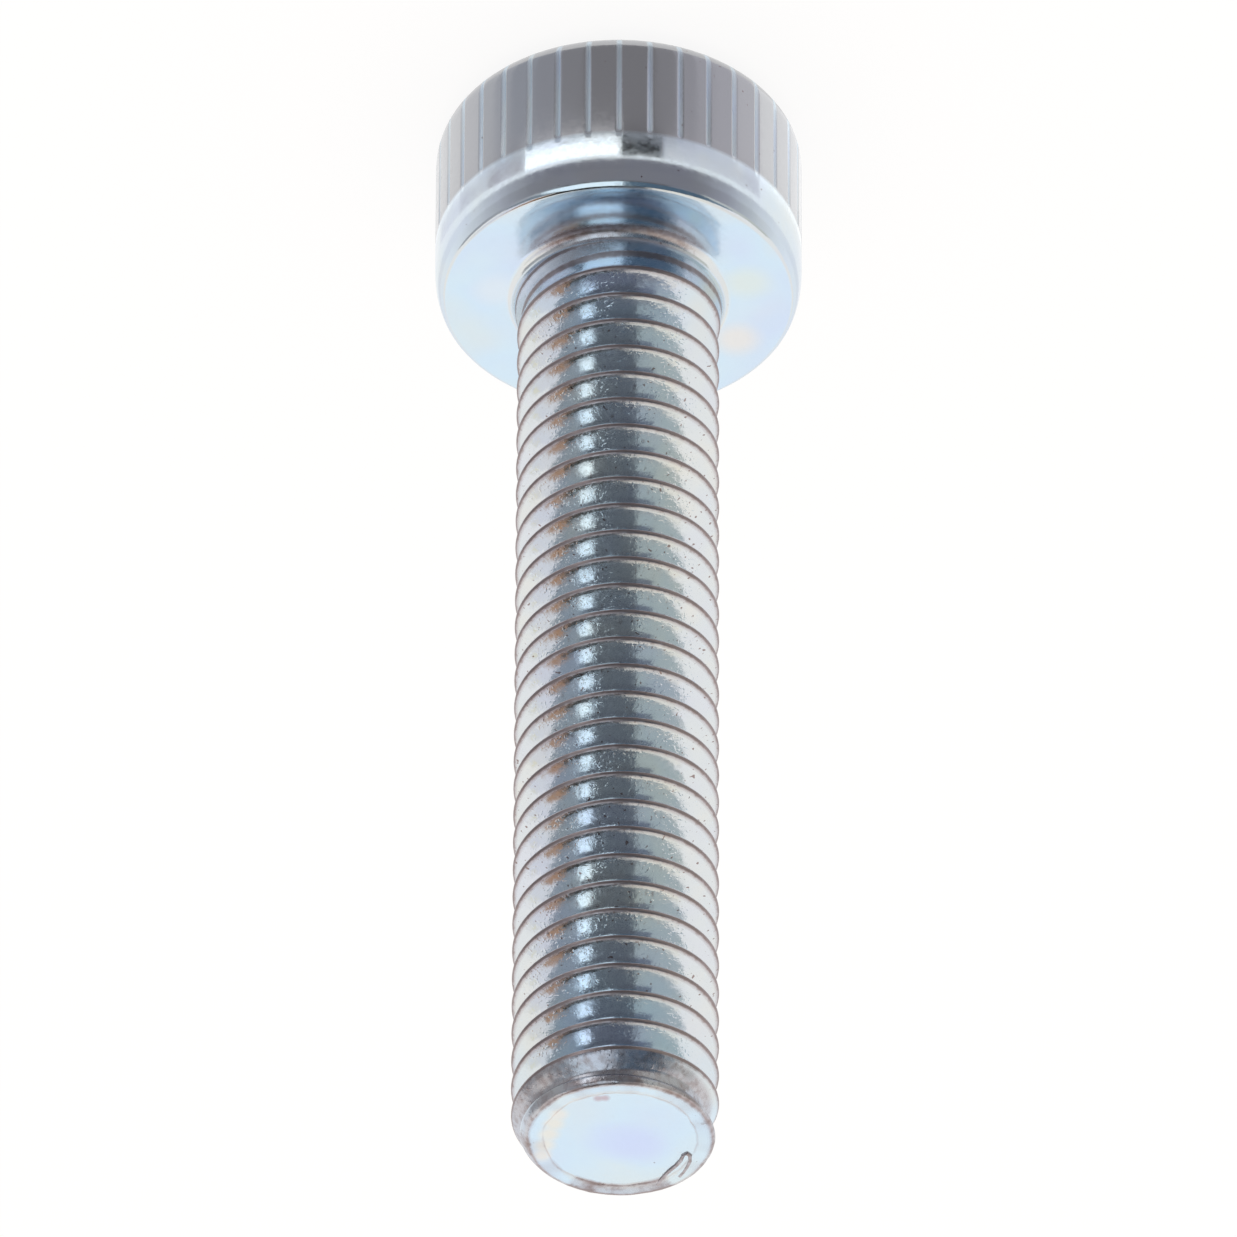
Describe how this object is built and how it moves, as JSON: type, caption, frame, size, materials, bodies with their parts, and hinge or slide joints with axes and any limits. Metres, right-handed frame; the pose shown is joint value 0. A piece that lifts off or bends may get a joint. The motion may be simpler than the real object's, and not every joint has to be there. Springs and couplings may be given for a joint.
{
  "type": "hex socket cap screw",
  "caption": "Cylindrical head with a straight knurl and a hex socket, on a short shank with a right-hand thread up to the head and a chamfered tip.",
  "frame": {"origin": "centre of the flat face under the head", "axes": "+Z along the shank, from the head towards the tip; the front of the knurl and of the thread's first crest is towards +Y"},
  "size_m": [0.0054, 0.0054, 0.0187],
  "materials": {
    "zinc_plated_steel": "bright zinc plate with a thin blue passivate"
  },
  "bodies": {
    "root": {"cap_screw": "zinc_plated_steel"}
  },
  "joints": []
}
